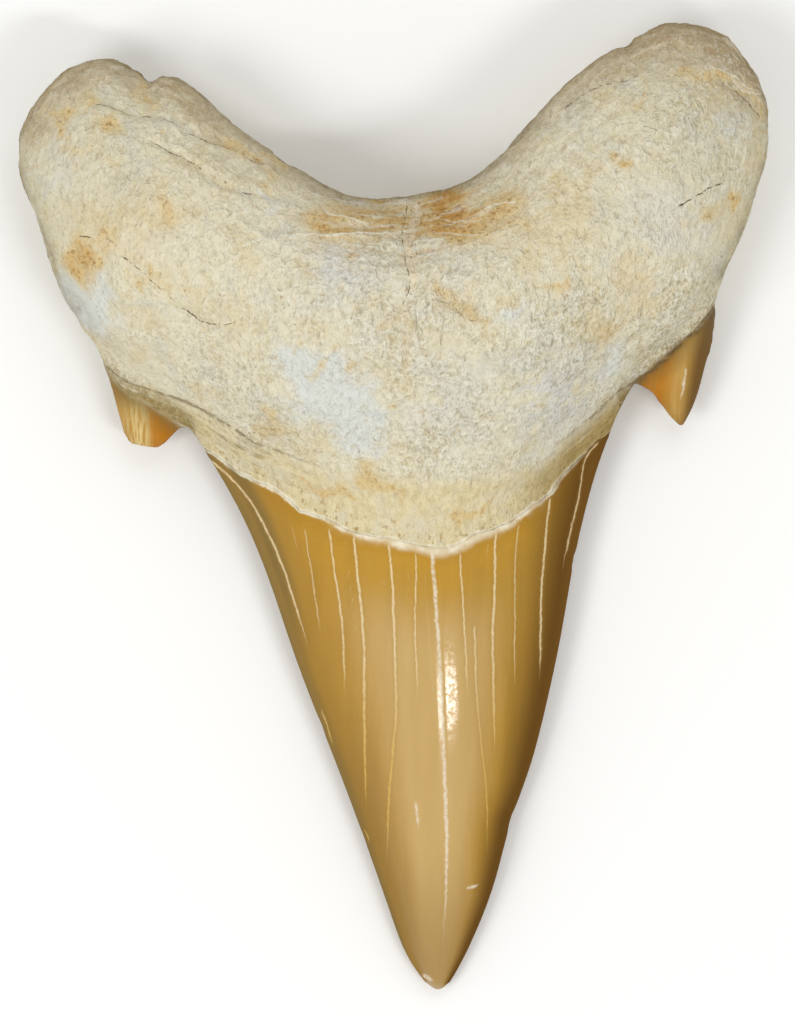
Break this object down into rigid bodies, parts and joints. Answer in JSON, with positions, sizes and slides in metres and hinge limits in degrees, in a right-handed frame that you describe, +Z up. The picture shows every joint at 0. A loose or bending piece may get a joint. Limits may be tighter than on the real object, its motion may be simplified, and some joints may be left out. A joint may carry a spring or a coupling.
{
  "type": "fossil shark tooth",
  "caption": "Fossil shark tooth: a thick lobed root of pale bone, a pointed amber enamel crown with sharp sides, and small side cusplets at the shoulders.",
  "frame": {"origin": "under the middle of the tooth's box, on the surface that it rests on", "axes": "+X across the tooth, +Y from the crown's tip towards the root's lobes, +Z up out of the domed lingual face; the flat labial face is down"},
  "size_m": [0.0586, 0.0758, 0.0196],
  "materials": {
    "tooth": "matt pale bone on the root, glossy amber enamel on the crown and cusplets"
  },
  "bodies": {
    "root": {"tooth": "tooth"}
  },
  "joints": []
}
